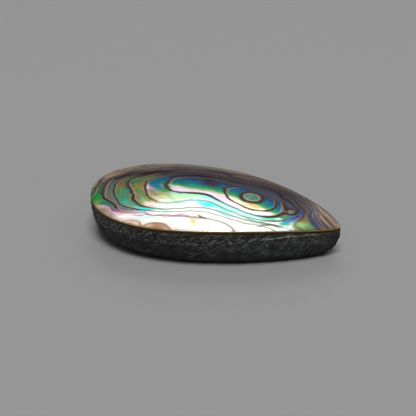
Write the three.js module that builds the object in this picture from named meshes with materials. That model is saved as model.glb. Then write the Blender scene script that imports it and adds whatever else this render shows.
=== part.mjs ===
// A pear-shaped abalone shell cabochon, lying flat: a polished shell cap glued to a dark backing.
// Millimetres. +X runs along the stone from its round end to its tip, +Z is up, and z = 0 is the flat base.
import * as THREE from "three";

// Outline at the rim.
const LENGTH = 45;
const WIDTH = 27;
const TIP_SHARPNESS = 0.41;
const BELLY_SHIFT = -0.184;
const SEGMENTS = 80;

// Polished dome: the height of the top falls away from its highest point.
const CROWN_Z = 8.93;
const CROWN_X = -4.5;
const FALL_X = 0.0047;
const FALL_Y = 0.0101;

// Side wall: nearly upright at the rim, turning in to a smaller flat base.
const BASE_INSET = 2.6;
const WALL_ROUNDNESS = 2.8;

// Layers, from the top down.
const CAP_EDGE = 0.5;
const CAP_MIDDLE = 1.7;
const GLUE_LINE = 0.1;
const SLAB_Z = 4.15;
const SLAB_RISE = 1.05;
const SLAB_RISE_X = 11.5;
const SLAB_RISE_SPREAD = 4.6;

const CURVED_RINGS = 7;
const FLAT_RINGS = 1;
const WALL_STEPS = { cap: 1, filler: 3, slab: 6 };

// Half-width of the outline, before scaling, at angle t round from the tip.
const pearBulge = (t) =>
  Math.sin(t) * Math.sin(t / 2) ** TIP_SHARPNESS * (1 + BELLY_SHIFT * Math.cos(t));

const WIDEST = Math.max(...Array.from({ length: 721 }, (_, i) => pearBulge((i / 720) * Math.PI)));

const domeZ = (x, y) => CROWN_Z - FALL_X * (x - CROWN_X) ** 2 - FALL_Y * y ** 2;

// A point of the outline set in by inset millimetres all round.
function outlinePoint(t, inset) {
  return {
    x: (LENGTH / 2 - inset) * Math.cos(t),
    y: ((WIDTH / 2 - inset) * pearBulge(t)) / WIDEST,
  };
}

// A point of the side wall at the given height.
function wallPoint(t, z) {
  const rim = outlinePoint(t, 0);
  const heightShare = Math.min(z / domeZ(rim.x, rim.y), 1);
  const { x, y } = outlinePoint(t, BASE_INSET * (1 - heightShare) ** WALL_ROUNDNESS);
  return new THREE.Vector3(x, y, z);
}

// The layers' surfaces, as heights over (x, y). reach is 0 in the middle and 1 at the edge.
const surfaces = {
  dome: (x, y) => domeZ(x, y),
  capUnderside: (x, y, reach) =>
    domeZ(x, y) - CAP_EDGE - (CAP_MIDDLE - CAP_EDGE) * (1 - reach ** 2),
  fillerTop: (x, y, reach) => surfaces.capUnderside(x, y, reach) - GLUE_LINE,
  fillerUnderside: (x) => surfaces.slabTop(x) + GLUE_LINE,
  slabTop: (x) => SLAB_Z + SLAB_RISE * Math.exp(-(((x - SLAB_RISE_X) / SLAB_RISE_SPREAD) ** 2)),
  base: () => 0,
};

const angles = Array.from({ length: SEGMENTS }, (_, i) => (i / SEGMENTS) * Math.PI * 2);

// The ring where a layer's surface meets the side wall.
function edgeRing(surface) {
  return angles.map((t) => {
    const rim = outlinePoint(t, 0);
    return wallPoint(t, surface(rim.x, rim.y, 1));
  });
}

// Rings that carry a surface from just outside its middle to just inside its edge.
function surfaceRings(surface, edge, count) {
  return Array.from({ length: count - 1 }, (_, i) => {
    const reach = (i + 1) / count;
    return edge.map((point) => {
      const x = CROWN_X + (point.x - CROWN_X) * reach;
      const y = point.y * reach;
      return new THREE.Vector3(x, y, surface(x, y, reach));
    });
  });
}

// Rings down the side wall between two edges, both left out.
function wallRings(top, bottom, steps) {
  return Array.from({ length: steps - 1 }, (_, i) =>
    angles.map((t, k) => wallPoint(t, THREE.MathUtils.lerp(top[k].z, bottom[k].z, (i + 1) / steps))),
  );
}

// One closed layer: out over its top, down its wall and back in under its underside.
function layerGeometry(topSurface, undersideSurface, wallSteps, undersideRings = CURVED_RINGS) {
  const topEdge = edgeRing(topSurface);
  const undersideEdge = edgeRing(undersideSurface);
  const rings = [
    ...surfaceRings(topSurface, topEdge, CURVED_RINGS),
    topEdge,
    ...wallRings(topEdge, undersideEdge, wallSteps),
    undersideEdge,
    ...surfaceRings(undersideSurface, undersideEdge, undersideRings).reverse(),
  ];
  const points = rings.flat();
  const topMiddle = points.push(new THREE.Vector3(CROWN_X, 0, topSurface(CROWN_X, 0, 0))) - 1;
  const undersideMiddle = points.push(new THREE.Vector3(CROWN_X, 0, undersideSurface(CROWN_X, 0, 0))) - 1;
  const lastRing = (rings.length - 1) * SEGMENTS;
  const faces = [];
  for (let k = 0; k < SEGMENTS; k++) {
    const next = (k + 1) % SEGMENTS;
    faces.push(topMiddle, k, next);
    for (let ring = 0; ring < lastRing; ring += SEGMENTS) {
      const below = ring + SEGMENTS;
      faces.push(ring + k, below + k, below + next);
      faces.push(ring + k, below + next, ring + next);
    }
    faces.push(undersideMiddle, lastRing + next, lastRing + k);
  }
  const geometry = new THREE.BufferGeometry().setFromPoints(points).setIndex(faces);
  geometry.computeVertexNormals();
  return geometry;
}

function namedLayer(name, geometry, finish) {
  const mesh = new THREE.Mesh(geometry, new THREE.MeshStandardMaterial(finish));
  mesh.name = name;
  return mesh;
}

// Abalone shell, ground to a dome and polished; it thins out to a narrow edge.
const shellCap = namedLayer(
  "shell_cap",
  layerGeometry(surfaces.dome, surfaces.capUnderside, WALL_STEPS.cap),
  { color: 0x7fa394, roughness: 0.18, metalness: 0.5 },
);

// Black resin with stone grit, which fills the hollow under the shell.
const resinFiller = namedLayer(
  "resin_filler",
  layerGeometry(surfaces.fillerTop, surfaces.fillerUnderside, WALL_STEPS.filler),
  { color: 0x1f1c1a, roughness: 0.65, metalness: 0 },
);

// Slate slab, thicker towards one end, ground round to the stone's outline and flat underneath.
const slateBacking = namedLayer(
  "slate_backing",
  layerGeometry(surfaces.slabTop, surfaces.base, WALL_STEPS.slab, FLAT_RINGS),
  { color: 0x1e2226, roughness: 0.6, metalness: 0 },
);

const cabochon = new THREE.Group();
cabochon.add(shellCap, resinFiller, slateBacking);

export default cabochon;
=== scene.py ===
# A pear-shaped abalone shell cabochon lying flat on a grey floor: a polished shell cap, a gritty
# black resin layer and a ground slate backing, glued together. Metres; +X runs to the tip.
import math

import bpy
import numpy as np
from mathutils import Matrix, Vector


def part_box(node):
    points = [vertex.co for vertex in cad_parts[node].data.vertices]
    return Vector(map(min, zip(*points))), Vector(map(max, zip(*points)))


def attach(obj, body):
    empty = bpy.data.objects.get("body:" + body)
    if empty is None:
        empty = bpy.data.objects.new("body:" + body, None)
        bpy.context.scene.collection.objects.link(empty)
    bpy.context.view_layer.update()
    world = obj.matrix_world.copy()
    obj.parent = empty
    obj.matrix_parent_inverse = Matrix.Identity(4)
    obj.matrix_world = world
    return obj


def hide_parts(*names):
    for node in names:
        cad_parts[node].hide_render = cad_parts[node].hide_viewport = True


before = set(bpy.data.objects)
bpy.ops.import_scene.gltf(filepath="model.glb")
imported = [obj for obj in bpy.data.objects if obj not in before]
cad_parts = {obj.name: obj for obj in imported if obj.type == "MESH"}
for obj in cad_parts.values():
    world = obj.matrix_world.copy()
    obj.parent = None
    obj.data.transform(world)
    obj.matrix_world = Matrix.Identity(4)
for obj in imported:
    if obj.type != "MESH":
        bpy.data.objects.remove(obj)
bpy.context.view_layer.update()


# ---- Camera -------------------------------------------------------------------------------------
# A long lens about a hand's length away, turned a little to the tip's side and looking down on the
# stone at a slant.
MM = 0.001
CAMERA_ROUND = math.radians(18.5)
CAMERA_DOWN = math.radians(26.05)
CAMERA_AWAY = 210 * MM
CAMERA_ASIDE = -1.25 * MM
CAMERA_RAISED = 4.97 * MM
FIELD_OF_VIEW = math.radians(20)
SENSOR = 36


def outward(around, above):
    """The unit vector that points away from the stone at these angles."""
    level = math.cos(above)
    return Vector((math.sin(around) * level, -math.cos(around) * level, math.sin(above)))


def aim(thing, place, target):
    """Puts a camera or a light in the scene, facing the target."""
    thing.location = place
    thing.rotation_euler = (target - place).to_track_quat("-Z", "Y").to_euler()
    bpy.context.scene.collection.objects.link(thing)


lens = bpy.data.cameras.new("camera")
lens.sensor_width = SENSOR
lens.lens = SENSOR / 2 / math.tan(FIELD_OF_VIEW / 2)
lens.clip_start = 10 * MM
camera = bpy.data.objects.new("camera", lens)
towards_camera = outward(CAMERA_ROUND, CAMERA_DOWN)
camera_right = Vector((math.cos(CAMERA_ROUND), math.sin(CAMERA_ROUND), 0))
camera_up = towards_camera.cross(camera_right)
aim_point = camera_right * CAMERA_ASIDE + camera_up * CAMERA_RAISED
aim(camera, aim_point + towards_camera * CAMERA_AWAY, aim_point)
bpy.context.scene.camera = camera


# ---- Studio -------------------------------------------------------------------------------------
# A plain matte floor in a grey room. A big softbox overhead lights the floor with hardly a shadow. Two
# more hang over the far side: the near half of the dome mirrors the high one, its ridge the low one.
FLOOR_SIZE = 4.0
FLOOR_GREY = 0.315
ROOM_GREY = 0.20


class Nodes:
    """Adds nodes to one tree; an input is given as a value or as the socket that feeds it."""

    def __init__(self, tree):
        self.tree = tree
        tree.nodes.clear()

    def add(self, kind, inputs=None, **settings):
        node = self.tree.nodes.new(kind)
        for name, value in settings.items():
            setattr(node, name, value)
        for name, value in (inputs or {}).items():
            if isinstance(value, bpy.types.NodeSocket):
                self.tree.links.new(value, node.inputs[name])
            else:
                node.inputs[name].default_value = value
        return node

    def split(self, vector):
        return self.add("ShaderNodeSeparateXYZ", {0: vector}).outputs

    def stretched(self, vector, factors):
        inputs = {0: vector, 1: factors}
        return self.add("ShaderNodeVectorMath", inputs, operation="MULTIPLY").outputs[0]

    def place(self):
        """Where a point is on its own piece, in metres."""
        return self.add("ShaderNodeTexCoord").outputs["Object"]

    def mark(self, name):
        """What a mesh keeps at each point under a name, for its material."""
        return self.add("ShaderNodeAttribute", attribute_name=name).outputs["Vector"]

    def kept(self, name, kind):
        """What a mesh keeps at each point under a name, for a geometry tree."""
        return self.add("GeometryNodeInputNamedAttribute", {"Name": name}, data_type=kind).outputs[0]

    def math(self, operation, *values, clamp=False):
        values = dict(enumerate(values))
        return self.add("ShaderNodeMath", values, operation=operation, use_clamp=clamp).outputs[0]

    def ramp(self, position, stops, interpolation="LINEAR"):
        """A colour ramp; stops are (position, colour) with three or four numbers in a colour."""
        node = self.add("ShaderNodeValToRGB", {0: position})
        node.color_ramp.interpolation = interpolation
        points = node.color_ramp.elements
        points.remove(points[1])
        for place, colour in stops:
            point = points[0] if place == stops[0][0] else points.new(place)
            point.position = place
            point.color = colour if len(colour) == 4 else (*colour, 1)
        return node.outputs

    def noise(self, vector, scale, detail=3.0, roughness=0.5):
        inputs = {"Vector": vector, "Scale": scale, "Detail": detail, "Roughness": roughness}
        return self.add("ShaderNodeTexNoise", inputs).outputs["Fac"]

    def between(self, value, low, high, new_low=0.0, new_high=1.0):
        """The value carried from one range to another, held inside it."""
        inputs = {0: value, 1: low, 2: high, 3: new_low, 4: new_high}
        return self.add("ShaderNodeMapRange", inputs, interpolation_type="SMOOTHSTEP").outputs[0]

    def blend(self, share, first, second, mode="MIX"):
        inputs = {"Factor": share, 6: first, 7: second}
        node = self.add("ShaderNodeMix", data_type="RGBA", blend_type=mode)
        for name, value in inputs.items():
            if isinstance(value, bpy.types.NodeSocket):
                self.tree.links.new(value, node.inputs[name])
            else:
                node.inputs[name].default_value = value if name == "Factor" else (*value, 1)
        return node.outputs[2]

    def bump(self, height, distance):
        inputs = {"Height": height, "Strength": 1.0, "Distance": distance * MM}
        return self.add("ShaderNodeBump", inputs).outputs[0]

    def grey(self, value):
        return self.add("ShaderNodeCombineColor", {0: value, 1: value, 2: value}).outputs[0]

    def surface(self, inputs):
        """The material's one shader, joined to its output."""
        shader = self.add("ShaderNodeBsdfPrincipled", inputs)
        self.add("ShaderNodeOutputMaterial", {"Surface": shader.outputs[0]})


def new_material(name):
    material = bpy.data.materials.new(name)
    material.use_nodes = True
    return material, Nodes(material.node_tree)


def floor_finish():
    material, nodes = new_material("floor_paper")
    fleck = nodes.between(nodes.noise(nodes.place(), 900), 0.3, 0.7, FLOOR_GREY * 0.985, FLOOR_GREY)
    nodes.surface({"Base Color": nodes.grey(fleck), "Roughness": 0.9, "Specular IOR Level": 0.1})
    return material


def softbox(name, around, above, away, width, height, watts):
    """A white softbox that faces the stone; its angles are in degrees."""
    light = bpy.data.lights.new(name, "AREA")
    light.shape = "RECTANGLE"
    light.size = width
    light.size_y = height
    light.energy = watts
    place = outward(math.radians(around), math.radians(above)) * away
    aim(bpy.data.objects.new(name, light), place, Vector((0, 0, 0)))


half = FLOOR_SIZE / 2
floor_mesh = bpy.data.meshes.new("floor")
floor_corners = [(-half, -half, 0), (half, -half, 0), (half, half, 0), (-half, half, 0)]
floor_mesh.from_pydata(floor_corners, [], [(0, 1, 2, 3)])
floor_mesh.materials.append(floor_finish())
floor = bpy.data.objects.new("floor", floor_mesh)
bpy.context.scene.collection.objects.link(floor)

softbox("top_softbox", around=20, above=68, away=1.5, width=0.6, height=0.6, watts=16.0)
softbox("far_softbox", around=197, above=48, away=1.0, width=0.62, height=0.42, watts=1.65)
softbox("low_softbox", around=195, above=25, away=1.0, width=0.90, height=0.26, watts=0.60)

room = bpy.data.worlds.new("grey_room")
room.use_nodes = True
walls = Nodes(room.node_tree)
glow = walls.add("ShaderNodeBackground", {"Color": (ROOM_GREY, ROOM_GREY, ROOM_GREY, 1)})
walls.add("ShaderNodeOutputWorld", {"Surface": glow.outputs[0]})
bpy.context.scene.world = room
bpy.context.scene.view_settings.view_transform = "Standard"


# ---- Slate backing ------------------------------------------------------------------------------
# A slab of slate, thicker towards one end, ground on a wheel to the pear outline with a wall that
# turns in to a smaller flat base. The wheel leaves slanting scratches and shallow dips.
PEAR = {"Tip sharpness": 0.41, "Belly shift": -0.184}
DOME = {"Crown height": 8.93, "Crown x": -4.5, "Fall along": 0.0047, "Fall across": 0.0101}
WALL = {"Base inset": 2.6, "Wall roundness": 2.8}
SLAB = {"Slab height": 4.15, "Slab rise": 1.05, "Rise x": 11.5, "Rise spread": 4.6}
GLUE_LINE = 0.02
ROUND_THE_WALL = 118     # millimetres, from the tip by the far side and back to it
SCRATCH_SLANT = math.radians(-33)
RINGS_CROWD = 1.25       # above 1, the rings crowd towards the rim
EDGE_TIGHTNESS = 90      # how close to the rim its rounding starts
SAME_POINT = 1e-4
WALL_ROUND = 720
SURFACE_PARTS = ("offset", "dome share", "swell", "slab share")
MESH_COUNTS = ("Around", "Top rings", "Wall rings", "Under rings")
PALE_FLECK = (99.0, 4.25)


def wheel_scratches(nodes, wall_place, across=1.6):
    """Noise drawn out along the slant that the wheel left; wall_place is run, height in millimetres."""
    inputs = {"Vector": wall_place, "Angle": SCRATCH_SLANT}
    slanted = nodes.add("ShaderNodeVectorRotate", inputs, rotation_type="Z_AXIS").outputs[0]
    return nodes.noise(nodes.stretched(slanted, (0.4, across, 0)), 1.5, 4, 0.65)


def ground_relief(nodes, mesh, depth):
    """Cuts the wheel's relief into the wall: long shallow scratches on a slant, over soft dips."""
    do = nodes.math
    wall_place = nodes.kept("wall_place", "FLOAT_VECTOR")
    dips = nodes.noise(nodes.add("GeometryNodeInputPosition").outputs[0], 0.5, 2)
    scratches = do("MULTIPLY", do("SUBTRACT", wheel_scratches(nodes, wall_place), 0.5), 1.8)
    cut = do("MULTIPLY_ADD", do("SUBTRACT", dips, 0.5), 0.8, scratches)
    down = nodes.split(wall_place)["Z"]
    on_wall = nodes.between(nodes.kept("reach", "FLOAT"), 0.97, 1.0)
    above_base = nodes.between(down, 0.72, 0.94, 1.0, 0.0)
    cut = do("MULTIPLY", do("MULTIPLY", cut, depth), do("MULTIPLY", on_wall, above_base))
    inputs = {0: nodes.add("GeometryNodeInputNormal").outputs[0], "Scale": do("MULTIPLY", cut, -1)}
    offset = nodes.add("ShaderNodeVectorMath", inputs, operation="SCALE").outputs[0]
    return nodes.add("GeometryNodeSetPosition", {"Geometry": mesh, "Offset": offset}).outputs[0]


def open_tree(name, inputs):
    """An empty geometry tree; inputs gives the kind of each input by its name."""
    tree = bpy.data.node_groups.new(name, "GeometryNodeTree")
    for socket, kind in inputs.items():
        tree.interface.new_socket(socket, socket_type="NodeSocket" + kind, in_out="INPUT")
    tree.interface.new_socket("Geometry", socket_type="NodeSocketGeometry", in_out="OUTPUT")
    nodes = Nodes(tree)
    return nodes, nodes.add("NodeGroupInput").outputs


def close_tree(nodes, geometry, material):
    """Ends a geometry tree with its instances made real and the material on them."""
    real = nodes.add("GeometryNodeRealizeInstances", {"Geometry": geometry}).outputs[0]
    finished = nodes.add("GeometryNodeSetMaterial", {"Geometry": real, "Material": material})
    nodes.add("NodeGroupOutput", {"Geometry": finished.outputs[0]})
    return nodes.tree


def layer_tree():
    """The geometry tree of one layer: over its top, down its wall and in under its underside.

    A surface's height is offset + dome share x dome + swell x (1 - reach^2) + slab share x slab,
    all in millimetres, where reach is 0 in the middle and 1 at the edge.
    """
    surfaces = [f"{side} {part}" for side in ("Top", "Under") for part in SURFACE_PARTS]
    names = ["Length", "Width", *PEAR, "Widest bulge", *DOME, *WALL, *SLAB, *surfaces, "Edge round", "Relief"]
    inputs = dict.fromkeys(names, "Float") | dict.fromkeys(MESH_COUNTS, "Int") | {"Material": "Material"}
    nodes, given = open_tree("cabochon_layer", inputs)
    do = nodes.math

    columns = do("ADD", given["Around"], 1)
    rings = do("ADD", do("ADD", given["Top rings"], given["Wall rings"]), given["Under rings"])
    grid = nodes.add("GeometryNodeMeshGrid", {
        "Size X": 1, "Size Y": 1, "Vertices X": columns, "Vertices Y": do("ADD", rings, 1),
    }).outputs["Mesh"]
    spot = nodes.split(nodes.add("GeometryNodeInputPosition").outputs[0])
    turn = do("MULTIPLY", do("ADD", spot["X"], 0.5), math.tau)
    row = do("MULTIPLY", do("ADD", spot["Y"], 0.5), rings)

    # How far each row is out over the top, down the wall and in under the underside, 0 to 1.
    over = do("DIVIDE", row, given["Top rings"], clamp=True)
    past_top = do("SUBTRACT", row, given["Top rings"])
    down = do("DIVIDE", past_top, given["Wall rings"], clamp=True)
    under = do("DIVIDE", do("SUBTRACT", past_top, given["Wall rings"]), given["Under rings"], clamp=True)
    over = do("SUBTRACT", 1, do("POWER", do("SUBTRACT", 1, over), RINGS_CROWD))
    reach = do("MULTIPLY", over, do("SUBTRACT", 1, under))

    # Outline: the half-width at each angle round from the tip is the bulge over its widest value.
    def bulge(angle):
        narrowed = do("POWER", do("ABSOLUTE", do("SINE", do("DIVIDE", angle, 2))), given["Tip sharpness"])
        shifted = do("MULTIPLY_ADD", given["Belly shift"], do("COSINE", angle), 1)
        return do("MULTIPLY", do("MULTIPLY", do("SINE", angle), narrowed), shifted)

    def outline(inset):
        x = do("MULTIPLY", do("SUBTRACT", do("DIVIDE", given["Length"], 2), inset), do("COSINE", turn))
        half_width = do("SUBTRACT", do("DIVIDE", given["Width"], 2), inset)
        return x, do("DIVIDE", do("MULTIPLY", half_width, bulge(turn)), given["Widest bulge"])

    def dome(x, y):
        along = do("POWER", do("SUBTRACT", x, given["Crown x"]), 2)
        fallen = do("MULTIPLY_ADD", along, given["Fall along"], do(
            "MULTIPLY", do("MULTIPLY", y, y), given["Fall across"]))
        return do("SUBTRACT", given["Crown height"], fallen)

    def slab(x):
        off = do("DIVIDE", do("SUBTRACT", x, given["Rise x"]), given["Rise spread"])
        hump = do("POWER", math.e, do("MULTIPLY", do("MULTIPLY", off, off), -1))
        return do("MULTIPLY_ADD", given["Slab rise"], hump, given["Slab height"])

    def surface(side, x, y, how_far):
        height = do("MULTIPLY_ADD", given[side + " dome share"], dome(x, y), given[side + " offset"])
        height = do("MULTIPLY_ADD", given[side + " slab share"], slab(x), height)
        middle = do("SUBTRACT", 1, do("MULTIPLY", how_far, how_far))
        return do("MULTIPLY_ADD", given[side + " swell"], middle, height)

    def mixed(share, first, second):
        return do("MULTIPLY_ADD", share, do("SUBTRACT", second, first), first)

    rim = outline(0)
    rim_height = dome(*rim)
    wall_height = mixed(down, surface("Top", *rim, 1), surface("Under", *rim, 1))
    hollowed = do("SUBTRACT", 1, do("DIVIDE", wall_height, rim_height), clamp=True)
    inset = do("MULTIPLY", given["Base inset"], do("POWER", hollowed, given["Wall roundness"]))
    edge_x, edge_y = outline(inset)
    x = mixed(reach, given["Crown x"], edge_x)
    y = do("MULTIPLY", edge_y, reach)
    z = mixed(down, surface("Top", x, y, reach), surface("Under", x, y, reach))
    rounded = do("POWER", over, EDGE_TIGHTNESS)
    z = do("SUBTRACT", z, do("MULTIPLY", do("MULTIPLY", given["Edge round"], rounded), do(
        "SUBTRACT", 1, down)))

    # Each point keeps its run along the wall, its height and how far down the wall it is.
    run = do("MULTIPLY", do("DIVIDE", turn, math.tau), ROUND_THE_WALL)
    wall_place = nodes.add("ShaderNodeCombineXYZ", {"X": run, "Y": z, "Z": down}).outputs[0]
    marked = nodes.add("GeometryNodeStoreNamedAttribute", {
        "Geometry": grid, "Name": "wall_place", "Value": wall_place,
    }, data_type="FLOAT_VECTOR", domain="POINT").outputs[0]
    marked = nodes.add("GeometryNodeStoreNamedAttribute", {
        "Geometry": marked, "Name": "reach", "Value": reach,
    }, data_type="FLOAT", domain="POINT").outputs[0]
    place = nodes.add("ShaderNodeCombineXYZ", {"X": x, "Y": y, "Z": z}).outputs[0]
    shaped = nodes.add("GeometryNodeSetPosition", {"Geometry": marked, "Position": place}).outputs[0]
    merging = {"Geometry": shaped, "Distance": SAME_POINT}
    closed = nodes.add("GeometryNodeMergeByDistance", merging).outputs[0]
    closed = nodes.add("GeometryNodeFlipFaces", {"Mesh": closed}).outputs[0]
    ground = ground_relief(nodes, closed, given["Relief"])
    sized = nodes.add("GeometryNodeTransform", {"Geometry": ground, "Scale": (MM, MM, MM)}).outputs[0]
    smooth = nodes.add("GeometryNodeSetShadeSmooth", {"Geometry": sized}).outputs[0]
    return close_tree(nodes, smooth, given["Material"])


def pear_bulge(turn):
    narrowed = math.sin(turn / 2) ** PEAR["Tip sharpness"]
    return math.sin(turn) * narrowed * (1 + PEAR["Belly shift"] * math.cos(turn))


WIDEST_BULGE = max(pear_bulge(math.pi * step / 720) for step in range(1, 720))
LAYER_TREE = layer_tree()


def as_plain_mesh(maker):
    """Turns what an object's geometry tree makes into an object with a plain mesh of the same name."""
    depsgraph = bpy.context.evaluated_depsgraph_get()
    mesh = bpy.data.meshes.new_from_object(
        maker.evaluated_get(depsgraph), preserve_all_data_layers=True, depsgraph=depsgraph)
    name = maker.name
    bpy.data.objects.remove(maker)
    mesh.name = name
    piece = bpy.data.objects.new(name, mesh)
    bpy.context.scene.collection.objects.link(piece)
    return piece


def run_tree(name, tree, sizes, mesh=None):
    """An object made by a geometry tree; sizes gives every input of the tree by its name."""
    maker = bpy.data.objects.new(name, mesh or bpy.data.meshes.new(name))
    bpy.context.scene.collection.objects.link(maker)
    modifier = maker.modifiers.new(name, "NODES")
    modifier.node_group = tree
    for socket in tree.interface.items_tree:
        if socket.in_out == "INPUT" and socket.name in sizes:
            modifier[socket.identifier] = sizes[socket.name]
    return as_plain_mesh(maker)


def cabochon_layer(name, finish, rings, top, under, edge_round, relief):
    """One layer. top and under are offset, dome share, swell and slab share; rings count the mesh."""
    low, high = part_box("shell_cap")
    sizes = {"Length": (high.x - low.x) / MM, "Width": (high.y - low.y) / MM, **PEAR, **DOME, **WALL, **SLAB}
    sizes |= {"Widest bulge": WIDEST_BULGE, "Edge round": edge_round, "Relief": relief, "Material": finish}
    sizes |= dict(zip(MESH_COUNTS, rings))
    for side, surface in (("Top", top), ("Under", under)):
        sizes |= {f"{side} {part}": float(value) for part, value in zip(SURFACE_PARTS, surface)}
    return run_tree(name, LAYER_TREE, sizes)


def fleck(nodes, wall_place, colour, middle, size, pale):
    """The colour with one pale fleck in it; middle is the fleck's run and height on the wall."""
    inputs = {0: nodes.stretched(wall_place, (1, 1, 0)), 1: (*middle, 0)}
    gap = nodes.add("ShaderNodeVectorMath", inputs, operation="DISTANCE").outputs["Value"]
    return nodes.blend(nodes.between(gap, size * 0.6, size * 1.3, 1, 0), colour, pale)


def slate_finish():
    material, nodes = new_material("ground_slate")
    place = nodes.mark("wall_place")
    spot = nodes.place()
    broad = wheel_scratches(nodes, place)
    fine = wheel_scratches(nodes, place, 3.0)
    mottle = nodes.noise(spot, 900, 4)
    stone = nodes.ramp(mottle, [(0.38, (0.004, 0.005, 0.006)), (0.62, (0.030, 0.033, 0.036))])[0]
    clear = nodes.between(nodes.noise(spot, 160, 2), 0.38, 0.60, 0.25, 1.0)
    fine_dust = nodes.between(fine, 0.53, 0.60, 0, 0.8)
    dust = nodes.math("MAXIMUM", nodes.between(broad, 0.52, 0.60), fine_dust)
    colour = nodes.blend(nodes.math("MULTIPLY", dust, clear), stone, (0.20, 0.21, 0.207))
    gouge = nodes.math("MULTIPLY", nodes.between(broad, 0.41, 0.49, 1, 0), 0.95)
    colour = nodes.blend(gouge, colour, (0.002, 0.002, 0.002))
    colour = fleck(nodes, place, colour, PALE_FLECK, 0.18, (0.85, 0.85, 0.80))
    # Darker towards the foot of the wall, where it turns in under the stone: painted shade.
    down = nodes.split(place)["Z"]
    colour = nodes.blend(nodes.between(down, 0.55, 0.95, 0.0, 0.85), colour, (0.006, 0.004, 0.003))
    height = nodes.math("ADD", broad, nodes.math("MULTIPLY_ADD", mottle, 0.3, fine))
    roughness = nodes.between(mottle, 0.3, 0.7, 0.42, 0.62)
    nodes.surface({"Base Color": colour, "Roughness": roughness, "Normal": nodes.bump(height, 1.0)})
    return material


slate_backing = cabochon_layer(
    "slate_slab", slate_finish(), rings=(WALL_ROUND, 12, 26, 8), top=(0, 0, 0, 1), under=(0, 0, 0, 0),
    edge_round=0.07, relief=0.45)
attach(slate_backing, "root")
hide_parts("slate_backing")


# ---- Resin filler -------------------------------------------------------------------------------
# Black resin thickened with crushed stone, poured into the hollow under the shell and ground flush
# with the wall. It's brownish and granular, and pale chips of the grit are cut open in its face.
CAP_EDGE = 0.5
CAP_MIDDLE = 1.7
CAP_SWELL = CAP_EDGE - CAP_MIDDLE
LONG_SCRATCH = {"run": 103, "height": 5.5, "bow": 0.012}
CUT_CHIP = (93.8, 4.9)


def long_scratch(nodes, place, clouds):
    """Where the one long pale scratch near the tip lies; its ends bow down a little."""
    do = nodes.math
    run, height, _ = nodes.split(place)
    off_middle = do("POWER", do("SUBTRACT", run, LONG_SCRATCH["run"]), 2)
    bowed = do("MULTIPLY", off_middle, LONG_SCRATCH["bow"])
    off_scratch = do("ABSOLUTE", do("SUBTRACT", do("ADD", height, bowed), LONG_SCRATCH["height"]))
    long_enough = nodes.between(bowed, 0.2, 0.4, 1, 0)
    scratch = do("MULTIPLY", nodes.between(off_scratch, 0.03, 0.14, 1, 0), long_enough)
    return do("MULTIPLY", scratch, nodes.between(clouds, 0.42, 0.52, 0.5, 1.0))


def resin_finish():
    material, nodes = new_material("filled_resin")
    place = nodes.mark("wall_place")
    spot = nodes.place()
    grains = nodes.noise(spot, 3000, 5, 0.75)
    clouds = nodes.noise(spot, 500, 3)
    scratches = wheel_scratches(nodes, place, 2.4)
    resin = nodes.ramp(grains, [
        (0.42, (0.002, 0.002, 0.002)), (0.50, (0.018, 0.017, 0.015)), (0.58, (0.19, 0.18, 0.16))])[0]
    cloudy = nodes.between(clouds, 0.42, 0.55, 0.2, 1)
    dust = nodes.math("MULTIPLY", nodes.between(scratches, 0.52, 0.60), cloudy)
    resin = nodes.blend(dust, resin, (0.26, 0.26, 0.24))
    gouge = nodes.math("MULTIPLY", nodes.between(scratches, 0.40, 0.48, 1, 0), 0.85)
    resin = nodes.blend(gouge, resin, (0.004, 0.004, 0.004))
    resin = nodes.blend(long_scratch(nodes, place, clouds), resin, (0.62, 0.59, 0.51))
    resin = fleck(nodes, place, resin, CUT_CHIP, 0.32, (0.30, 0.31, 0.30))
    down = nodes.split(place)["Z"]
    stained = nodes.between(nodes.math("MULTIPLY_ADD", clouds, 0.2, down), 0.08, 0.30, 0.8, 0.0)
    colour = nodes.blend(stained, resin, (0.060, 0.038, 0.020))
    height = nodes.math("ADD", grains, scratches)
    roughness = nodes.between(grains, 0.3, 0.7, 0.38, 0.7)
    nodes.surface({"Base Color": colour, "Roughness": roughness, "Normal": nodes.bump(height, 0.9)})
    return material


resin_filler = cabochon_layer(
    "resin_layer", resin_finish(), rings=(WALL_ROUND, 12, 22, 8),
    top=(-CAP_EDGE - GLUE_LINE, 1, CAP_SWELL, 0), under=(GLUE_LINE, 0, 0, 1), edge_round=0.03, relief=0.35)
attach(resin_filler, "root")
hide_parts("resin_filler")


# ---- Grit ---------------------------------------------------------------------------------------
# Pale chips of quartz and shell that thicken the resin. Grinding cuts through some of them, and the
# cut chips stand a hair proud of the softer resin round them.
CHIP_SIZE = 0.13
CHIPS_PER_MM2 = 0.5
TRIED_FOR_EACH = 3       # most chips tried fall off the wall or outside a clump, and are left out
GRIT_SEED = 7


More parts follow.
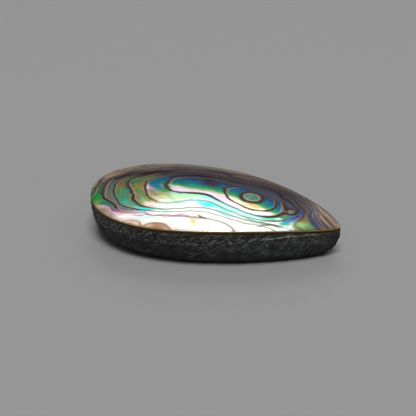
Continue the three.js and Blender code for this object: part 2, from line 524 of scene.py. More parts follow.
def grit_tree():
    """Scatters flat chips over the ground wall of the mesh that comes in."""
    nodes, given = open_tree("grit_chips", {
        "Resin": "Geometry", "Chip size": "Float", "Chips per mm2": "Float", "Seed": "Int",
        "Material": "Material"})
    do = nodes.math

    down = nodes.split(nodes.kept("wall_place", "FLOAT_VECTOR"))["Z"]
    in_wall = do("MULTIPLY", nodes.between(down, 0.15, 0.3), nodes.between(down, 0.90, 0.97, 1, 0))
    on_wall = do("MULTIPLY", in_wall, nodes.between(nodes.kept("reach", "FLOAT"), 0.98, 1.0))
    spot = nodes.add("GeometryNodeInputPosition").outputs[0]
    clumped = nodes.between(nodes.noise(spot, 260, 2), 0.45, 0.65)
    density = do("MULTIPLY", given["Chips per mm2"], 1 / MM ** 2 * TRIED_FOR_EACH)
    scattered = nodes.add("GeometryNodeDistributePointsOnFaces", {
        "Mesh": given["Resin"], "Density": density, "Seed": given["Seed"]}).outputs
    keep = do("MULTIPLY", on_wall, clumped)
    inputs = {2: 0.0, 3: 1.0, "Seed": given["Seed"]}
    chance = nodes.add("FunctionNodeRandomValue", inputs, data_type="FLOAT")
    left_out = do("GREATER_THAN", chance.outputs[1], keep)
    points = nodes.add("GeometryNodeDeleteGeometry", {
        "Geometry": scattered["Points"], "Selection": left_out}, domain="POINT").outputs[0]
    chip = nodes.add("GeometryNodeMeshIcoSphere", {"Radius": MM, "Subdivisions": 2}).outputs["Mesh"]
    size = nodes.add("FunctionNodeRandomValue", {
        0: (0.4, 0.3, 0.25), 1: (2.0, 1.2, 0.5), "Seed": given["Seed"]}, data_type="FLOAT_VECTOR").outputs[0]
    size = nodes.add("ShaderNodeVectorMath", {0: size, "Scale": given["Chip size"]}, operation="SCALE")
    chips = nodes.add("GeometryNodeInstanceOnPoints", {
        "Points": points, "Instance": chip, "Rotation": scattered["Rotation"], "Scale": size.outputs[0]})
    return close_tree(nodes, chips.outputs[0], given["Material"])


def grit_finish():
    material, nodes = new_material("pale_grit")
    chalky = nodes.noise(nodes.place(), 1500, 3)
    colour = nodes.ramp(chalky, [
        (0.35, (0.06, 0.058, 0.05)), (0.6, (0.20, 0.20, 0.18)), (0.72, (0.6, 0.6, 0.56))])[0]
    nodes.surface({"Base Color": colour, "Roughness": nodes.between(chalky, 0.3, 0.7, 0.3, 0.6)})
    return material


grit_sizes = {"Chip size": CHIP_SIZE, "Chips per mm2": CHIPS_PER_MM2, "Seed": GRIT_SEED}
grit_sizes["Material"] = grit_finish()
grit_chips = run_tree("grit_chips", grit_tree(), grit_sizes, resin_filler.data.copy())
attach(grit_chips, "root")


# ---- Shell cap ----------------------------------------------------------------------------------
# A slice of abalone shell. The animal laid it down in wavy sheets with brown horny lines between,
# and grinding the dome through them leaves the lines as contours round the highest spots.
CAP_ROUND = 520
CAP_RINGS = 96
GROWTH_LINES = [
    # (level, points in millimetres from the middle)
    (4, [
        (1.6, 1), (2.6, -1), (4.6, -2.6), (7, -3.4), (9.2, -3.2), (10.7, -1.9), (11, -0.2),
        (10.4, 1.6), (9, 3.2), (7, 4.1), (4.6, 4), (2.8, 3.1), (1.5, 2.1)]),
    (3, [
        (-9, 1.2), (-8.8, -0.4), (-7.9, -1.7), (-6.2, -2.45), (-4, -2.1), (-2, -1.75), (-0.3, -1.95),
        (1.2, -2.8), (3.2, -3.7), (5.6, -4.4), (8, -4.9), (10.2, -4.6), (11.8, -3.7), (12.7, -2.2),
        (12.7, -0.8), (11.9, 1.1), (10.4, 3.1), (8.6, 4.8), (6, 5.2), (3.6, 4.8), (1.6, 4.9),
        (-1, 5.25), (-3.6, 5), (-6.2, 4.3), (-8.2, 3.4)]),
    (2, [
        (-12.7, 0.6), (-12.5, -1.2), (-11.9, -2.8), (-10.8, -4.7), (-9.2, -6), (-7.4, -6.5),
        (-5.6, -6), (-3.4, -4.7), (-1.4, -4.05), (0.6, -4.05), (2.2, -4.6), (4.6, -5.5), (7.2, -6.1),
        (9.6, -6), (11.7, -5.3), (13.5, -4), (14.7, -2.3), (15.3, -0.5), (14.8, 1.2), (13.2, 3),
        (11.2, 4.8), (8.6, 6.1), (5.6, 6.2), (3, 5.8), (0.5, 6), (-2.5, 6.4), (-5.5, 6), (-8.6, 4.9),
        (-11.2, 3)]),
    (1, [
        (16, -5), (15.5, -3.2), (16.1, -1), (15.7, 1.3), (14.3, 3.4), (12.2, 5.3), (9.2, 6.9),
        (5.6, 7.2), (2.6, 6.9), (0, 7.1), (-3.2, 7.6), (-6.6, 7.1), (-9.8, 5.9), (-12.8, 4),
        (-15, 2.2), (-16.1, 0.6), (-15.8, -1.2), (-14.6, -3), (-13.3, -5), (-12.2, -6.9), (-10.6, -8),
        (-8.5, -8.4), (-6, -8.2), (-3.6, -7.4), (-1.4, -6.5), (0.8, -6.1), (3, -6.3), (6, -6.8),
        (9, -6.8), (11.6, -6.4), (14.4, -6), (15.6, -6.3)]),
    (0, [
        (19.2, -3.7), (18, -2.5), (16.9, -0.5), (16.3, 1.9), (14.7, 4.2), (12, 6.4), (8.8, 8), (5.2, 8.4),
        (2, 8.2), (-1, 8.6), (-4.4, 8.8), (-8, 8.2), (-11.6, 6.8), (-14.8, 4.8), (-17.2, 2.4),
        (-18.1, 0.2), (-18, -2), (-17.3, -4.2), (-16.2, -6.2), (-14.8, -7.9), (-12.6, -8.9),
        (-10, -9.2), (-7.2, -9.2), (-4.6, -8.6), (-2, -7.7), (0.6, -7.25), (3.5, -7.5), (6.5, -7.7),
        (9.5, -7.5), (11.6, -7.4), (13.6, -7.9)]),
    (-1, [
        (20.7, -2), (18.9, -0.1), (17.4, 2.4), (15.2, 5), (12, 7.6), (8.4, 9.1), (4.8, 9.6),
        (1.4, 9.5), (-2, 10), (-6, 10), (-10.2, 9.2), (-14.2, 7.2), (-17.6, 4.4), (-19.6, 1.4),
        (-20, -1.2), (-19.5, -3.6), (-18.7, -5.7), (-17, -7.2), (-15.4, -8.4), (-14.4, -9.6),
        (-12, -10.2), (-9.4, -9.9), (-6, -9.9), (-3, -9.5), (0, -9.1), (2.6, -8.9), (4.8, -9.2),
        (6.2, -9.9), (6.9, -10.7), (7, -11.8)]),
    (-2, [
        (21.8, 0.6), (19.6, 3), (16.8, 5.6), (13, 8.2), (8.8, 10.4), (4, 11.3), (-1, 11.8), (-6, 11.9),
        (-11, 11), (-15.6, 8.8), (-19.2, 5.4), (-21.3, 1.6), (-21.5, -2), (-21, -4.4)]),
    (-2, [
        (-18, -10.3), (-17.3, -9.8), (-16.3, -10.1), (-15.2, -11), (-14.2, -12.4)]),
    (-2, [
        (-12.7, -12.9), (-12, -12.4), (-10.6, -12.25), (-9.3, -12.6), (-8.8, -13.2)]),
    (-2, [
        (-8.3, -13.1), (-7.4, -12.4), (-6, -12.1), (-4.4, -12.4), (-3.5, -13.1)]),
]
GROWTH_EYES = [
    # (level, x, y, half-length, half-width, turn in degrees)
    (5, 6.5, 0.6, 1.75, 1.75, -20),
    (3, 13.95, -0.75, 0.7, 0.9, -20),
]
GROWTH_HEIGHTS = [
    # (x, y, level)
    (6.55, 0.5, 5.45), (-4, 1.4, 3.75), (13.95, -0.75, 3.25), (17.5, -4.2, 0.6), (16.1, -5.8, 1.2),
    (-17, -10.6, -2.3), (-10.8, -12.9, -2.3), (-6.1, -12.9, -2.4), (-19.5, -8, -1.5), (-13.5, -11, -1.45),
    (-8.4, -11.3, -1.4), (-2.5, -11, -1.4), (-2, -13, -1.7), (2.5, -10.8, -1.35), (4, -12.4, -1.4),
    (9.5, -9.4, -0.5), (9, -10.8, -0.6),
]


def growth_marks():
    """The points where the growth level is known, and the level at each."""
    points = []
    for level, line in GROWTH_LINES:
        points += [(x, y, level) for x, y in line]
    for level, middle_x, middle_y, long, wide, turned in GROWTH_EYES:
        turned = math.radians(turned)
        for step in range(10):
            along = long * math.cos(step * math.tau / 10)
            across = wide * math.sin(step * math.tau / 10)
            points.append((
                middle_x + along * math.cos(turned) - across * math.sin(turned),
                middle_y + along * math.sin(turned) + across * math.cos(turned), level))
    return np.array(points + GROWTH_HEIGHTS, float)


def bend(places, marks):
    """The thin-plate kernel between two sets of places."""
    gap = ((places[:, None, :] - marks[None, :, :]) ** 2).sum(2)
    return 0.5 * gap * np.log(gap + 1e-12)


def growth_field(marks, softness=0.02):
    """A function that gives the growth level at any places, bent smoothly through the marks."""
    spots = marks[:, :2]
    count = len(spots)
    plane = np.column_stack([np.ones(count), spots])
    system = np.zeros((count + 3, count + 3))
    system[:count, :count] = bend(spots, spots) + softness * np.eye(count)
    system[:count, count:] = plane
    system[count:, :count] = plane.T
    weights = np.linalg.solve(system, np.append(marks[:, 2], [0, 0, 0]))

    def level_at(places):
        flat = np.column_stack([np.ones(len(places)), places]) @ weights[count:]
        return bend(places, spots) @ weights[:count] + flat

    return level_at


# Colours of the sheets. Along the ridge, by millimetres towards the far side: pale at the near end
# as painted highlight, blue to green in the middle, nearly black at the far end as painted shade.
RIDGE_HUES = [
    (-2.6, (0.93, 0.80, 0.90)),
    (-1.9, (0.93, 0.92, 0.78)),
    (-1.3, (0.42, 0.55, 0.22)),
    (-0.8, (0.07, 0.38, 0.16)),
    (0.0, (0.03, 0.27, 0.20)),
    (0.9, (0.02, 0.19, 0.27)),
    (1.9, (0.04, 0.14, 0.31)),
    (2.8, (0.045, 0.06, 0.13)),
    (3.6, (0.025, 0.022, 0.03)),
]
# Down the near side, the two ends and the far side, by growth level. The near side's pale colours
# are partly painted highlight, where the dome mirrors the high softbox. The far side is kept dark,
# partly as painted shade where it mirrors nothing bright; its tan and brown bands are the shell's own.
NEAR_HUES = [
    (-2.4, (0.60, 0.42, 0.26)),
    (-1.9, (0.90, 0.72, 0.66)),
    (-1.4, (0.95, 0.93, 0.84)),
    (-0.9, (0.93, 0.80, 0.90)),
    (-0.4, (0.95, 0.95, 0.88)),
    (0.3, (0.95, 0.97, 0.92)),
    (0.8, (0.80, 0.95, 0.93)),
    (1.1, (0.90, 0.95, 0.85)),
    (1.5, (0.80, 0.96, 0.90)),
    (1.85, (0.55, 0.92, 0.90)),
    (2.15, (0.75, 0.95, 0.80)),
    (2.55, (0.45, 0.88, 0.78)),
    (2.9, (0.30, 0.80, 0.85)),
    (3.1, (0.90, 0.80, 0.92)),
    (3.5, (0.93, 0.78, 0.90)),
    (3.9, (0.93, 0.90, 0.70)),
    (4.6, (0.90, 0.92, 0.60)),
    (5.2, (0.20, 0.38, 0.26)),
]
END_HUES = [
    (-2.4, (0.45, 0.40, 0.24)),
    (-2.0, (0.20, 0.20, 0.08)),
    (-1.6, (0.06, 0.20, 0.10)),
    (-1.2, (0.08, 0.09, 0.10)),
    (-0.8, (0.14, 0.15, 0.16)),
    (-0.3, (0.20, 0.25, 0.20)),
    (0.1, (0.26, 0.17, 0.11)),
    (0.4, (0.11, 0.24, 0.09)),
    (0.75, (0.06, 0.26, 0.16)),
    (1.1, (0.30, 0.18, 0.07)),
    (1.5, (0.10, 0.26, 0.10)),
    (1.8, (0.28, 0.24, 0.10)),
    (2.1, (0.50, 0.44, 0.30)),
    (2.6, (0.45, 0.40, 0.28)),
]
FAR_HUES = [
    (-2.6, (0.62, 0.56, 0.45)),
    (-2.0, (0.52, 0.40, 0.30)),
    (-1.3, (0.33, 0.25, 0.205)),
    (-0.6, (0.31, 0.23, 0.20)),
    (0.0, (0.09, 0.068, 0.070)),
    (0.5, (0.24, 0.18, 0.16)),
    (1.1, (0.05, 0.042, 0.05)),
    (1.6, (0.16, 0.13, 0.14)),
    (2.2, (0.04, 0.037, 0.05)),
    (3.0, (0.09, 0.10, 0.14)),
]
# Single patches of sheen, each kept between two growth levels. The palest ones, on the near side,
# are partly painted highlight.
SHEEN_PATCHES = [
    # (x, y, half-length, half-width, turn in degrees, lowest level, highest level, colour)
    (-20.8, 5.0, 3.2, 1.1, 62, -3.0, -1.6, (0.95, 0.64, 0.33)),
    (-15.6, 9.0, 3.5, 0.9, 28, -3.0, -1.6, (0.75, 0.57, 0.37)),
    (-7.6, 11.4, 2.6, 1.0, 5, -3.0, -1.6, (0.46, 0.52, 0.45)),
    (-21.6, -1.6, 2.8, 0.5, 90, -3.0, -1.8, (0.05, 0.035, 0.012)),
    (-18.6, 2.4, 3.2, 1.2, 55, -1.7, 0.7, (0.075, 0.052, 0.05)),
    (-13.6, 5.2, 4.0, 1.3, 25, -0.8, 1.6, (0.06, 0.045, 0.05)),
    (-20.4, -6.0, 2.0, 1.2, -60, -2.5, -1.0, (0.03, 0.33, 0.06)),
    (-18.8, -8.3, 1.5, 0.9, -40, -2.5, -1.0, (0.30, 0.50, 0.09)),
    (-17.0, -8.3, 2.0, 0.6, -20, -2.5, -1.0, (0.015, 0.22, 0.15)),
    (-17.4, -9.7, 1.8, 0.4, -40, -2.0, -1.0, (0.62, 0.42, 0.34)),
    (-14.2, -10.2, 3.2, 0.9, -12, -2.2, -0.8, (0.78, 0.50, 0.62)),
    (-13.6, -9.8, 1.0, 0.6, -20, -1.7, -0.8, (0.85, 0.22, 0.62)),
    (-15.3, -9.5, 1.6, 0.45, -25, -1.7, -0.9, (0.10, 0.06, 0.14)),
    (-12.2, -9.0, 1.8, 0.45, -10, -1.1, 0.1, (0.22, 0.20, 0.28)),
    (-8.6, -8.75, 3.0, 0.45, 3, -1.0, 1.0, (0.05, 0.80, 0.80)),
    (-18.4, -3.4, 2.8, 0.7, 105, -1.0, 0.0, (0.14, 0.20, 0.15)),
    (-18.2, -5.6, 1.6, 0.6, -60, -1.0, 0.0, (0.22, 0.17, 0.17)),
    (-16.7, -4.4, 2.6, 0.8, 110, 0.0, 1.0, (0.05, 0.26, 0.11)),
    (-17.3, -1.6, 1.8, 0.7, 100, 0.0, 1.0, (0.32, 0.14, 0.05)),
    (-14.6, -7.4, 2.2, 0.8, -40, -0.2, 1.0, (0.05, 0.34, 0.24)),
    (-15.4, -0.2, 1.8, 0.8, 70, 1.0, 2.0, (0.02, 0.24, 0.11)),
    (-14.2, -1.9, 1.4, 0.6, 110, 1.0, 2.0, (0.42, 0.24, 0.05)),
    (-13.2, -4.2, 2.2, 0.8, -62, 1.0, 2.0, (0.10, 0.26, 0.08)),
    (-12.2, -5.4, 1.2, 0.5, -50, 1.0, 2.0, (0.36, 0.22, 0.16)),
    (-11.0, -6.4, 1.2, 0.7, -40, 1.0, 2.0, (0.20, 0.36, 0.16)),
    (-9.4, -7.2, 1.6, 0.6, -15, 1.0, 2.0, (0.90, 0.60, 0.55)),
    (-11.6, 0.2, 1.8, 1.4, 80, 2.0, 3.0, (0.02, 0.16, 0.30)),
    (-10.6, -1.0, 2.0, 1.3, -40, 2.0, 3.0, (0.02, 0.20, 0.30)),
    (-8.6, -2.6, 1.6, 0.6, -30, 2.0, 3.0, (0.04, 0.30, 0.07)),
    (-10.6, -3.1, 1.6, 0.7, -10, 2.0, 3.0, (0.42, 0.28, 0.26)),
    (-8.4, -4.1, 2.8, 1.0, -12, 2.0, 3.0, (0.33, 0.30, 0.15)),
    (-4.8, -3.4, 2.8, 0.8, 8, 2.0, 3.0, (0.50, 0.72, 0.34)),
    (-8.8, -5.4, 1.6, 0.4, -15, 2.0, 3.0, (0.66, 0.42, 0.34)),
    (-2.2, -2.5, 1.8, 0.4, 8, 2.0, 3.0, (0.30, 0.90, 0.66)),
    (-2.0, 2.6, 1.8, 1.3, -20, 3.0, 4.0, (0.075, 0.05, 0.045)),
    (-6.6, 1.6, 1.8, 1.0, 0, 3.0, 4.0, (0.015, 0.22, 0.22)),
    (3.6, -2.6, 2.8, 0.6, -15, 3.0, 4.0, (0.92, 0.72, 0.92)),
    (7.4, -2.4, 1.8, 0.6, 0, 4.0, 5.0, (0.80, 0.62, 0.26)),
    (0.6, -4.8, 2.2, 1.1, -10, 0.9, 2.0, (0.06, 0.85, 0.90)),
    (2.6, -5.0, 1.8, 0.8, -20, 0.9, 2.0, (0.10, 0.85, 0.88)),
    (5.6, -5.2, 2.2, 0.5, -10, 1.0, 3.0, (0.35, 0.93, 0.85)),
    (11.4, -5.0, 1.8, 0.5, 5, 1.0, 3.0, (0.10, 0.60, 0.36)),
    (-5.8, -7.0, 3.0, 0.35, 12, -0.2, 1.0, (0.80, 0.55, 0.76)),
    (-7.4, -4.9, 2.2, 0.35, -8, 2.0, 3.0, (0.55, 0.66, 0.26)),
    (3.6, -6.7, 2.6, 0.35, -6, 0.0, 1.0, (0.18, 0.72, 0.80)),
    (8.6, -6.4, 2.6, 0.30, 0, 0.8, 2.0, (0.12, 0.55, 0.48)),
    (-8.0, -10.3, 3.4, 0.3, 6, -1.7, -0.9, (0.40, 0.22, 0.44)),
    (-3.4, -9.7, 3.2, 0.35, 10, -1.7, -0.2, (0.66, 0.40, 0.58)),
    (-9.4, -11.2, 1.8, 0.4, 0, -2.0, -1.0, (0.55, 0.95, 0.75)),
    (-5.8, -12.6, 2.0, 0.8, 0, -3.0, -2.0, (0.42, 0.24, 0.15)),
    (-2.6, -11.6, 2.2, 0.5, 20, -2.0, -1.0, (0.88, 0.62, 0.92)),
    (-0.6, -10.2, 1.4, 0.7, 80, -2.0, -1.0, (0.66, 0.60, 0.34)),
    (0.6, -8.6, 1.2, 0.26, -37, -2.0, 0.2, (0.06, 0.07, 0.015)),
    (10.9, -5.9, 1.4, 0.22, 12, -1.0, 1.5, (0.03, 0.07, 0.02)),
    (11.8, -6.6, 1.6, 0.22, 18, -1.0, 1.5, (0.04, 0.07, 0.02)),
    (10.9, -7.3, 1.1, 0.20, 28, -1.0, 1.5, (0.06, 0.09, 0.02)),
    (13.0, -1.4, 1.6, 0.5, 75, 2.0, 3.0, (0.33, 0.15, 0.04)),
    (13.0, -3.4, 1.8, 0.5, 38, 1.9, 3.0, (0.03, 0.26, 0.18)),
    (13.95, -0.75, 0.7, 0.7, 0, 2.9, 4.0, (0.13, 0.20, 0.17)),
    (15.0, -2.0, 2.6, 0.9, 66, 1.0, 2.0, (0.09, 0.10, 0.45)),
    (14.4, -3.9, 1.4, 0.5, 45, 1.0, 2.0, (0.05, 0.26, 0.42)),
    (14.0, -4.9, 1.2, 0.5, 30, 0.9, 2.0, (0.04, 0.42, 0.34)),
    (16.2, -2.4, 1.8, 0.5, 75, -0.1, 1.1, (0.34, 0.18, 0.06)),
    (17.0, -3.9, 1.8, 0.9, 40, -0.1, 1.5, (0.32, 0.46, 0.18)),
    (18.2, -1.6, 2.8, 0.9, -52, -1.1, 0.1, (0.085, 0.09, 0.155)),
    (17.2, -2.0, 2.6, 0.35, -52, -0.1, 0.4, (0.12, 0.26, 0.20)),
    (13.6, 5.4, 3.2, 0.9, -32, -1.2, 0.1, (0.19, 0.20, 0.28)),
    (17.0, 1.8, 3.0, 0.6, -62, -1.1, 0.1, (0.17, 0.18, 0.27)),
    (12.2, 4.3, 3.0, 0.6, -30, -0.1, 1.2, (0.36, 0.23, 0.14)),
    (20.4, 0.8, 3.0, 1.0, -55, -3.0, -0.9, (0.30, 0.22, 0.16)),
    (-1.6, 9.6, 3.2, 0.6, 0, -2.0, 0.0, (0.07, 0.05, 0.09)),
    (-15.6, -0.4, 0.36, 0.28, 60, 1.0, 2.0, (0.004, 0.004, 0.004)),
    (-15.0, -1.9, 0.36, 0.28, 60, 1.0, 2.0, (0.004, 0.004, 0.004)),
]
# From outside a growth line to inside it: dark brown horn fading out, amber, then a thin pale lip.
LINE_PROFILE = [
    (-0.50, (0.060, 0.034, 0.022, 0.0)),
    (-0.36, (0.030, 0.015, 0.009, 0.50)),
    (-0.20, (0.010, 0.004, 0.003, 0.97)),
    (0.00, (0.014, 0.005, 0.003, 1.0)),
    (0.07, (0.090, 0.030, 0.006, 1.0)),
    (0.14, (0.300, 0.125, 0.024, 0.75)),
    (0.19, (0.380, 0.260, 0.100, 0.45)),
    (0.24, (0.480, 0.560, 0.440, 0.40)),
    (0.32, (0.550, 0.640, 0.560, 0.0)),
]


def sheen_at(places, level):
    """The patches of sheen at each place as a colour times its share, and the share."""
    wavy = places + 0.35 * np.sin(places[:, ::-1] * 1.3 + (0.7, 2.1)) + 0.12 * np.sin(places * 3.7)
    sheen = np.zeros((len(places), 4))
    for x, y, long, wide, turned, lowest, highest, colour in SHEEN_PATCHES:
        turned = math.radians(turned)
        off = wavy - (x, y)
        along = off @ (math.cos(turned), math.sin(turned)) / long
        across = off @ (-math.sin(turned), math.cos(turned)) / wide
        share = np.exp(-0.9 * (along ** 2 + across ** 2) ** 1.5)
        share *= np.clip((level - lowest) / 0.1 + 0.5, 0, 1) * np.clip((highest - level) / 0.1 + 0.5, 0, 1)
        sheen += (np.array((*colour, 1)) - sheen) * share[:, None]
    return sheen


def mark_growth(piece):
    """Keeps the growth level, its steepness per millimetre and the patches of sheen at each point."""
    mesh = piece.data
    places = np.empty(len(mesh.vertices) * 3)
    mesh.vertices.foreach_get("co", places)
    places = places.reshape(-1, 3)[:, :2] / MM
    level_at = growth_field(growth_marks())
    step = 0.05
    level, along, across = (
        np.concatenate([level_at(part + shift) for part in np.array_split(places, 20)])
        for shift in (np.array([0, 0]), np.array([step, 0]), np.array([0, step])))
    steepness = np.hypot(along - level, across - level) / step
    kept = mesh.attributes.new("growth", "FLOAT_VECTOR", "POINT")
    empty = np.zeros(len(level))
    kept.data.foreach_set("vector", np.column_stack([level, steepness, empty]).ravel())
    kept = mesh.attributes.new("sheen", "FLOAT_COLOR", "POINT")
    kept.data.foreach_set("color", sheen_at(places, level).ravel())


def spread_hues(nodes, at, hues):
    low, high = hues[0][0], hues[-1][0]
    share = nodes.math("DIVIDE", nodes.math("SUBTRACT", at, low), high - low)
    return nodes.ramp(share, [((place - low) / (high - low), colour) for place, colour in hues])[0]


def nacre_colour(nodes, spot, level, streaks, patches):
    """The sheets' colour: blue to green along the ridge, pale in front of it, brown behind it. The pale
    front is partly painted highlight, and the dark back partly painted shade.
    """
    do = nodes.math
    x, y, _ = nodes.split(spot)
    tip_bend = do("MULTIPLY", do("POWER", do("MAXIMUM", do("ADD", x, 2), 0), 2), 0.016)
    round_bend = do("MULTIPLY", do("POWER", do("MAXIMUM", do("SUBTRACT", -9, x), 0), 2), 0.03)
    behind = do("SUBTRACT", do("ADD", y, do("ADD", tip_bend, round_bend)), 1)
    drift = do("MULTIPLY_ADD", streaks, 1.1, do("MULTIPLY", patches, 1.6))
    behind = do("ADD", behind, drift)
    banded = do("ADD", level, do("MULTIPLY_ADD", streaks, 0.5, do("MULTIPLY", patches, 1.2)))

    ridge = spread_hues(nodes, behind, RIDGE_HUES)
    near = spread_hues(nodes, banded, NEAR_HUES)
    ends = spread_hues(nodes, banded, END_HUES)
    far = spread_hues(nodes, banded, FAR_HUES)

    pushed = do("MULTIPLY", do("MINIMUM", level, 0), 3.6)
    round_end = nodes.between(do("SUBTRACT", do("MULTIPLY_ADD", patches, 4, x), pushed), -10.5, -6.5, 1, 0)
    tip_end = nodes.between(do("MULTIPLY_ADD", patches, 2, x), 14.0, 16.0)
    # In front of the ridge, the near colours: partly painted highlight.
    lower = nodes.blend(do("MAXIMUM", round_end, tip_end), near, ends)
    late_blue = nodes.between(do("ABSOLUTE", do("ADD", x, 11)), 0.5, 3.0, 1.7, 0)
    on_ridge = nodes.between(do("ADD", behind, late_blue), -2.1, -1.2)
    on_ridge = do("MULTIPLY", on_ridge, nodes.between(level, 1.9, 2.05))
    colour = nodes.blend(on_ridge, lower, ridge)
    # Behind the ridge, the far colours: partly painted shade.
    colour = nodes.blend(nodes.between(behind, 2.3, 3.5), colour, far)
    eye = nodes.ramp(nodes.noise(spot, 1.4, 3), [(0.4, (0.08, 0.24, 0.20)), (0.6, (0.22, 0.33, 0.25))])[0]
    colour = nodes.blend(nodes.between(level, 4.95, 5.15), colour, eye)

    sheen = nodes.add("ShaderNodeAttribute", attribute_name="sheen").outputs
    bare = nodes.blend(sheen["Alpha"], colour, (0, 0, 0))
    return nodes.blend(1.0, bare, sheen["Color"], "ADD"), behind


def along_sheets(nodes, spot, level, stretch, layers):
    """Places drawn out along the sheets, where noise comes out as streaks."""
    flat = nodes.stretched(spot, (*stretch, 0))
    lift = nodes.add("ShaderNodeCombineXYZ", {"Z": nodes.math("MULTIPLY", level, layers)}).outputs[0]
    return nodes.add("ShaderNodeVectorMath", {0: flat, 1: lift}, operation="ADD").outputs[0]


def fibrous(nodes, nacre, spot, level, far_side):
    """The nacre with fibres of light and shade along its sheets, strongest on the far side."""
    do = nodes.math
    fibres = nodes.noise(along_sheets(nodes, spot, level, (0.12, 0.16), 6), 1.0, 3, 0.6)
    shade = nodes.between(fibres, 0.34, 0.66, 0.45, 1.6)
    shade = do("MULTIPLY_ADD", do("SUBTRACT", shade, 1), do("MULTIPLY_ADD", far_side, 0.75, 0.25), 1)
    return nodes.blend(1.0, nacre, nodes.grey(shade), "MULTIPLY")


def line_spread(nodes, spot, steepness, wandering, behind, far_side):
    """How wide the growth lines are, in levels. They're wide where sheets lie flat, and the lines of
    odd level are the wider ones."""
    do = nodes.math
    x = nodes.split(spot)["X"]
    spread = do("MULTIPLY_ADD", do("POWER", steepness, 0.6), 0.85, 0.15)
    odd = do("ABSOLUTE", do("SINE", do("MULTIPLY", do("ROUND", wandering), math.pi / 2)))
    spread = do("MULTIPLY", spread, do("MULTIPLY_ADD", odd, 0.45, 0.65))
    spread = do("MULTIPLY", spread, nodes.between(nodes.noise(spot, 0.45, 2), 0.35, 0.65, 0.85, 1.15))
    spread = do("MULTIPLY", spread, nodes.between(x, 14, 17, 1, 0.6))
    widest = nodes.between(behind, -4.2, -2.2, 0.8, 1.9)
    widest = do("MAXIMUM", widest, do("MULTIPLY", odd, nodes.between(x, -13, -9, 1.25, 0)))
    spread = do("MINIMUM", spread, do("MULTIPLY", steepness, widest))
    return do("MINIMUM", spread, do("MULTIPLY_ADD", far_side, -0.5, 1.1))


def growth_lines(nodes, spot, level, steepness, behind, far_side):
    """The brown horn lines, which sit at whole levels and wander, most on the far side: how much of
    a line there is, its colour, and the wandering level."""
    do = nodes.math
    x, y, _ = nodes.split(spot)
    loose = do("SUBTRACT", nodes.noise(spot, 0.28, 2), 0.5)
    wander = do("MULTIPLY_ADD", nodes.noise(spot, 0.9, 4, 0.6), 0.20, -0.10)
    wander = do("MULTIPLY_ADD", do("MULTIPLY", loose, far_side), 1.5, wander)
    wandering = do("ADD", level, wander)
    off_line = do("SUBTRACT", wandering, do("ROUND", wandering))
    spread = line_spread(nodes, spot, steepness, wandering, behind, far_side)
    profile_at = do("ADD", do("DIVIDE", off_line, spread), 0.5)
    profile = nodes.ramp(profile_at, [(place + 0.5, colour) for place, colour in LINE_PROFILE])

    # The lines are fainter on the near side and round the tip, and fade away on the far side.
    # On the near side the fading is painted highlight, where the dome mirrors the softbox.
    near_side = do("MULTIPLY", nodes.between(behind, -5.5, -3.0, 1.0, 0.0), nodes.between(x, -11, -7))
    near_side = do("MAXIMUM", near_side, nodes.between(y, -10.2, -9.2, 1, 0))
    tip_side = do("MULTIPLY", nodes.between(x, 12.5, 14.5), nodes.between(y, -3.5, -1.5, 0.65, 0))
    line_strength = do("SUBTRACT", 1, do("MAXIMUM", do("MULTIPLY", near_side, 0.35), tip_side))
    faded = do("MAXIMUM", nodes.between(loose, -0.1, 0.15, 0.0, 0.4), nodes.between(x, 17, 19, 0, 0.75))
    faded = do("MULTIPLY", far_side, faded)
    horn = do("MULTIPLY", do("MULTIPLY", profile[1], line_strength), do("SUBTRACT", 1, faded))
    dark = nodes.blend(do("MULTIPLY", far_side, 0.8), profile[0], (0.018, 0.014, 0.016))
    # On the near side the line colour is lightened towards olive: painted highlight.
    dark = nodes.blend(do("MULTIPLY", near_side, 0.75), dark, (0.26, 0.24, 0.06))
    return horn, dark, wandering


def hairlines(nodes, streaks, wandering, level, steepness):
    """How much there is of the thin lines between the growth lines."""
    do = nodes.math
    hair = do("MULTIPLY_ADD", streaks, 0.8, do("MULTIPLY", wandering, 3))
    hair = do("ABSOLUTE", do("SUBTRACT", hair, do("ROUND", hair)))
    hair = do("MULTIPLY", nodes.between(hair, 0.05, 0.25, 0.3, 0.0), nodes.between(steepness, 0.35, 0.7))
    return do("MULTIPLY", hair, nodes.between(level, -1.4, -0.8))


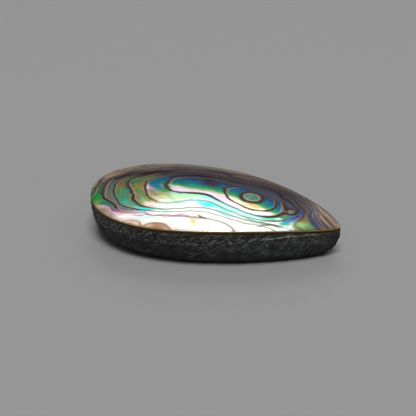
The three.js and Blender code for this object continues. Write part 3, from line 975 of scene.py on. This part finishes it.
def nacre_finish():
    material, nodes = new_material("polished_nacre")
    do = nodes.math
    spot = nodes.stretched(nodes.place(), (1 / MM,) * 3)
    level, steepness, _ = nodes.split(nodes.mark("growth"))
    down = nodes.split(nodes.mark("wall_place"))["Z"]

    # Streaks run along the sheets; patches are where a sheet lies a little higher or lower.
    streaks = nodes.noise(along_sheets(nodes, spot, level, (0.10, 0.22), 4), 1.0, 4, 0.6)
    streaks = do("SUBTRACT", streaks, 0.5)
    patches = do("SUBTRACT", nodes.noise(spot, 0.35, 3), 0.5)
    nacre, behind = nacre_colour(nodes, spot, level, streaks, patches)
    far_side = nodes.between(behind, 2.5, 4.5)
    nacre = fibrous(nodes, nacre, spot, level, far_side)
    horn, dark, wandering = growth_lines(nodes, spot, level, steepness, behind, far_side)
    colour = nodes.blend(horn, nacre, dark)
    hair = hairlines(nodes, streaks, wandering, level, steepness)
    colour = nodes.blend(hair, colour, (0.05, 0.05, 0.035))

    # The ground edge of the slice is amber horn.
    edge = nodes.between(down, 0.0, 0.12)
    horn_edge = nodes.ramp(down, [
        (0.1, (0.50, 0.31, 0.085)), (0.5, (0.10, 0.058, 0.022)), (0.9, (0.03, 0.022, 0.015))])[0]
    colour = nodes.blend(edge, colour, horn_edge)
    dull = do("MAXIMUM", do("MAXIMUM", horn, edge), hair)
    metallic = nodes.between(dull, 0.0, 1.0, 0.88, 0.0)
    ripple = do("MULTIPLY_ADD", streaks, 0.5, do("MULTIPLY", level, 1.0))
    roughness = nodes.between(patches, -0.3, 0.3, 0.26, 0.36)
    nodes.surface({
        "Base Color": colour, "Metallic": metallic, "Roughness": roughness,
        "Normal": nodes.bump(ripple, 0.05), "Specular IOR Level": 0.1,
        "Specular Tint": (0.35, 0.33, 0.38, 1), "Coat Weight": 0.05, "Coat Roughness": 0.05})
    return material


shell_cap = cabochon_layer(
    "shell_slice", nacre_finish(), rings=(CAP_ROUND, CAP_RINGS, 4, 10), top=(0, 1, 0, 0),
    under=(-CAP_EDGE, 1, CAP_SWELL, 0), edge_round=0.03, relief=0)
mark_growth(shell_cap)
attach(shell_cap, "root")
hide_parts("shell_cap")
